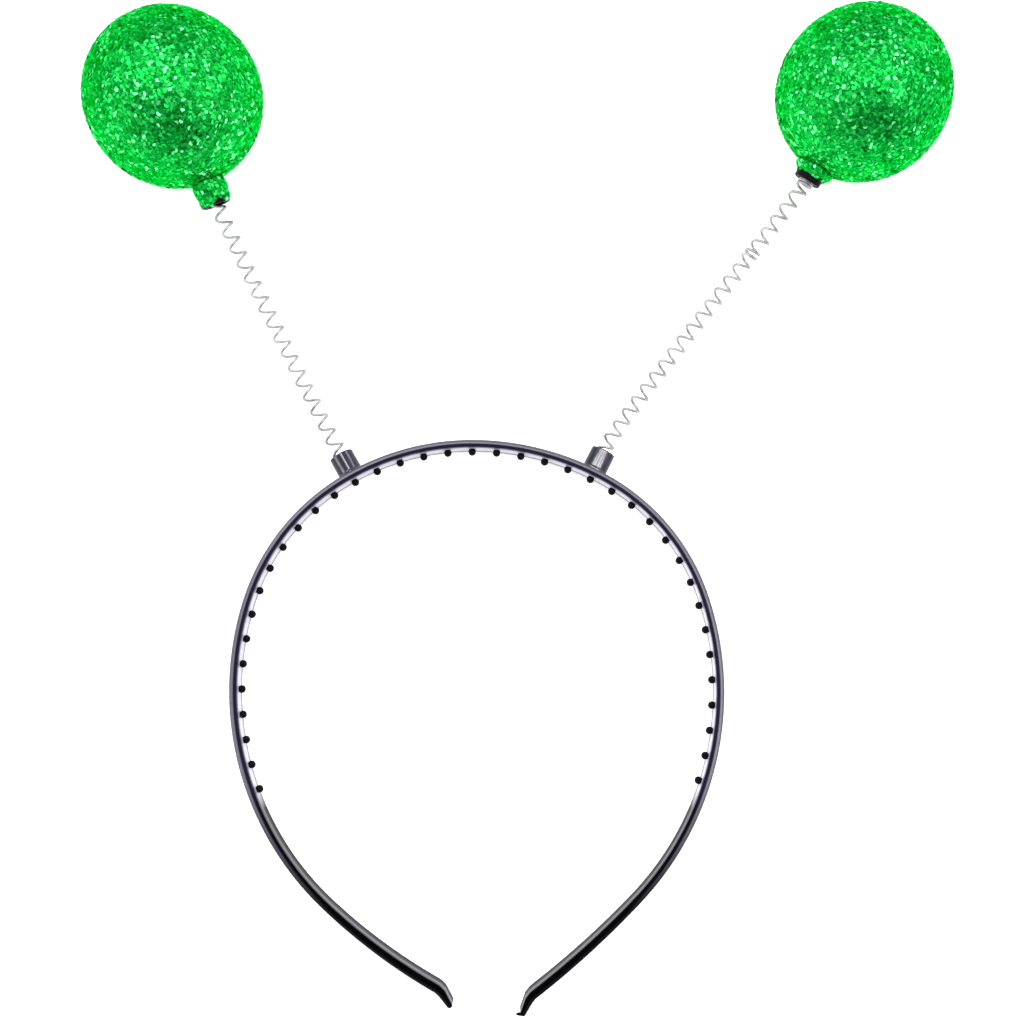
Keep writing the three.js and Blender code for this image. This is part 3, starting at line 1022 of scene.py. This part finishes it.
def flake_tree(material):
    """Scatters six-sided flakes over the coated faces, each tilted, turned and toned at random."""
    graph, wires = new_shape_tree("flakes", {
        "Spacing": "NodeSocketFloat", "Width": "NodeSocketFloat", "Thickness": "NodeSocketFloat",
        "Tilt": "NodeSocketFloat", "Seed": "NodeSocketInt",
    })
    coat = graph.add("GeometryNodeInputNamedAttribute", {"data_type": "FLOAT"}, {"Name": "coat"})
    coated = graph.add("FunctionNodeCompare", {"operation": "GREATER_THAN"}, {"A": coat, "B": 0.5})
    scatter = graph.add("GeometryNodeDistributePointsOnFaces", {"distribute_method": "POISSON"}, {
        "Mesh": wires["Geometry"], "Selection": coated, "Distance Min": wires["Spacing"],
        "Density Max": FLAKE_DENSITY, "Seed": wires["Seed"],
    }, "Points")
    lying = Wire(graph, scatter.socket.node.outputs["Rotation"])
    tilt = wires["Tilt"]
    spread = {
        label: graph.add("FunctionNodeRandomValue", {"data_type": "FLOAT"}, {
            "Min_001": -1 * limit, "Max_001": 1 * limit, "Seed": number,
        }, "Value_001")
        for number, (label, limit) in enumerate((("X", tilt), ("Y", tilt), ("Z", math.pi)))
    }
    angles = graph.add("ShaderNodeCombineXYZ", {}, spread)
    tumble = graph.add("FunctionNodeEulerToRotation", {}, {"Euler": angles})
    turn = graph.add("FunctionNodeRotateRotation", {"rotation_space": "LOCAL"}, {
        "Rotation": lying, "Rotate By": tumble,
    })
    size = graph.add("FunctionNodeRandomValue", {"data_type": "FLOAT"}, {
        "Min_001": FLAKE_LEAST, "Max_001": FLAKE_MOST, "Seed": SIZE_SEED,
    }, "Value_001")
    flake = graph.add("GeometryNodeMeshCylinder", {}, {
        "Vertices": FLAKE_SIDES, "Radius": wires["Width"] * 0.5, "Depth": wires["Thickness"],
    }, "Mesh")
    flakes = graph.add("GeometryNodeInstanceOnPoints", {}, {
        "Points": scatter, "Instance": flake, "Rotation": turn,
        "Scale": graph.add("ShaderNodeCombineXYZ", {}, {"X": size, "Y": size, "Z": 1}),
    })
    tone = graph.add("FunctionNodeRandomValue", {"data_type": "FLOAT"}, {"Seed": TONE_SEED}, "Value_001")
    toned = graph.add("GeometryNodeStoreNamedAttribute", {"domain": "INSTANCE"}, {
        "Geometry": flakes, "Name": "tone", "Value": tone,
    })
    return end_shape_tree(graph, toned, material)


def flakes_piece(antenna, ball, tree):
    return grown(f"flakes_{antenna['side']}", ball.data.copy(), tree, {
        "Spacing": FLAKE_SPACING,
        "Width": FLAKE_WIDTH,
        "Thickness": FLAKE_THICKNESS,
        "Tilt": math.radians(FLAKE_TILT),
        "Seed": FLAKE_SEED + antenna["sign"],
    })


# Stage

def make_camera():
    tilt = math.radians(CAMERA_TILT)
    back = Vector((0, -math.sin(tilt), math.cos(tilt)))
    camera = bpy.data.objects.new("camera", bpy.data.cameras.new("camera"))
    camera.data.lens = CAMERA_LENS
    camera.data.sensor_width = CAMERA_SENSOR
    camera.data.clip_start = CAMERA_NEAR
    camera.location = CAMERA_AIM + back * CAMERA_DISTANCE
    camera.rotation_euler = (tilt, 0, 0)
    bpy.context.scene.collection.objects.link(camera)
    bpy.context.scene.camera = camera


def make_softbox(row):
    """An area light at a lean from straight up, towards an azimuth. Its length runs at a turn from +X."""
    lean = math.radians(row["lean"])
    azimuth = math.radians(row["azimuth"])
    turn = math.radians(row["turn"])
    level = math.sin(lean)
    away = Vector((level * math.cos(azimuth), level * math.sin(azimuth), math.cos(lean)))
    along = Vector((math.cos(turn), math.sin(turn), 0))
    along = (along - away * along.dot(away)).normalized()
    light = bpy.data.lights.new(f"softbox_{row['name']}", "AREA")
    light.shape = "RECTANGLE"
    light.size = row["length"]
    light.size_y = row["width"]
    light.energy = row["radiance"] * math.pi * row["length"] * row["width"]
    light.color = SOFTBOX_TINT
    box = bpy.data.objects.new(light.name, light)
    box.matrix_world = Matrix((along, away.cross(along), away)).transposed().to_4x4()
    box.location = away * SOFTBOX_DISTANCE
    bpy.context.scene.collection.objects.link(box)


def make_world():
    """Soft light from all round: bright near the horizon, dim overhead, and dark at the front."""
    world = bpy.data.worlds.new("studio")
    world.use_nodes = True
    bpy.context.scene.world = world
    graph = Graph(world.node_tree)
    direction = graph.add("ShaderNodeTexCoord", {}, {}, "Generated")
    height = graph.add("ShaderNodeSeparateXYZ", {}, {"Vector": direction}, "Z")
    forward = vector_maths(graph, "DOT_PRODUCT", direction, DARK_FRONT, "Value")
    sky = ramp(graph, height, SKY_TONES)
    dark = ramp(graph, forward, DARK_FADE)
    above_horizon = ramp(graph, height, HORIZON_FADE)
    lit = vector_maths(graph, "SCALE", sky, 1 - dark * above_horizon)
    graph.fill(world.node_tree.nodes["Background"].inputs["Color"], lit)


def make_floor(material):
    half = FLOOR_HALF
    corners = [(-half, -half, 0), (half, -half, 0), (half, half, 0), (-half, half, 0)]
    mesh = bpy.data.meshes.new("floor")
    mesh.from_pydata(corners, [], [(0, 1, 2, 3)])
    mesh.materials.append(material)
    floor = show("floor", mesh)


# Assembly

def place(piece, slot, node=None):
    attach(piece, "root")
    if node is not None:
        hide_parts(node)


make_camera()
make_world()
for softbox in SOFTBOXES:
    make_softbox(softbox)
make_floor(pale_floor())
bpy.context.scene.view_settings.view_transform = "Standard"

PLASTIC = black_plastic()
POLISHED = socket_plastic()
DULL = dull_plastic()
LACQUER = glitter_core()
SPRING_TREE = spring_tree(silver_wire())
FLAKE_TREE = flake_tree(glitter_flake())

place(band_piece(PLASTIC), "black_plastic", "band")
place(pegs_piece(DULL), "black_plastic")
place(nub_piece(DULL), "black_plastic")
for antenna in ANTENNAS:
    side = antenna["side"]
    place(socket_piece(antenna, POLISHED), "black_plastic")
    place(spring_piece(antenna, SPRING_TREE), "silver_wire", f"spring_{side}")
    ball = ball_piece(antenna, LACQUER)
    place(ball, "green_glitter", f"ball_{side}")
    place(flakes_piece(antenna, ball, FLAKE_TREE), "green_glitter")
    place(plug_piece(antenna, DULL), "black_plastic", f"plug_{side}")
